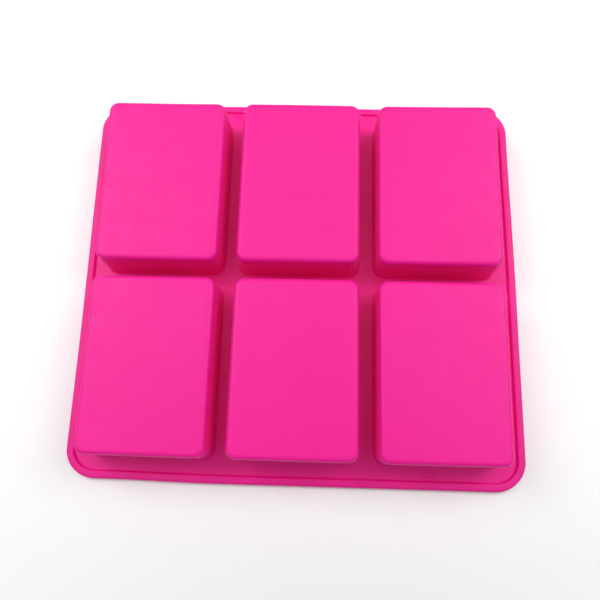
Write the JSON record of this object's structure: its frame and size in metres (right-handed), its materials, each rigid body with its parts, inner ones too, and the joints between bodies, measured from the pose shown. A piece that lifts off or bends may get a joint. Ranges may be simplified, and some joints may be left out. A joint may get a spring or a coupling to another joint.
{
  "type": "silicone soap mould",
  "caption": "Silicone soap mould with two rows of rectangular bar cavities on a beaded flange, lying on its open side.",
  "frame": {"origin": "centre of the underside, on the plane of the open side that the mould lies on", "axes": "+X along the rows of three cavities, +Y towards the back row, +Z from the open side towards the closed ends"},
  "size_m": [0.23, 0.2084, 0.027],
  "materials": {
    "pink_silicone": "matte"
  },
  "bodies": {
    "root": {"deck": "pink_silicone", "rim": "pink_silicone", "cup_back_left": "pink_silicone", "cup_back_middle": "pink_silicone", "cup_back_right": "pink_silicone", "cup_front_left": "pink_silicone", "cup_front_middle": "pink_silicone", "cup_front_right": "pink_silicone"}
  },
  "joints": []
}
